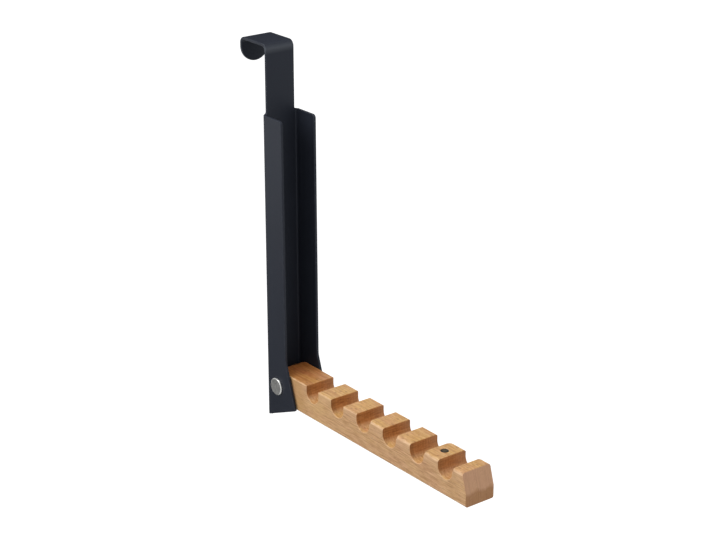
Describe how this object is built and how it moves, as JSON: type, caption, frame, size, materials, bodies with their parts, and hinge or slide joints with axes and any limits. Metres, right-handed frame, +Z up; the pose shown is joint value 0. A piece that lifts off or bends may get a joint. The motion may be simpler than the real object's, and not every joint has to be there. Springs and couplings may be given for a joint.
{
  "type": "over-door coat rack",
  "caption": "Folded steel bracket that hooks over a door, with a notched wooden hanger arm that lowers to level and folds up into the channel.",
  "frame": {"origin": "on top of the door: under the hook's plate, in the middle of its width and halfway through the door gap", "axes": "+Z up, +Y into the room behind the door, -Y to the front where the arm points, +X to the right seen from the front"},
  "size_m": [0.043, 0.3205, 0.3603],
  "materials": {
    "powder_coated_steel": "fine matte black powder coat",
    "beech": "satin oiled beech",
    "magnet": "dark nickel",
    "nickel_plated_steel": "satin nickel plate",
    "nylon": "natural nylon",
    "foam": "matte closed-cell foam"
  },
  "bodies": {
    "frame": {"bracket": "powder_coated_steel", "pivot_sleeve": "nickel_plated_steel", "pivot_screw": "nickel_plated_steel", "washer_left": "nylon", "washer_right": "nylon", "door_pad_upper": "foam", "door_pad_lower": "foam"},
    "arm": {"hanger_arm": "beech", "arm_magnet": "magnet"}
  },
  "joints": [
    {"name": "arm_fold", "type": "hinge", "parent": "frame", "child": "arm", "pos_m": [0, -0.03515, -0.3221], "axis": [-1, 0, 0], "range_deg": [0, 90]}
  ]
}
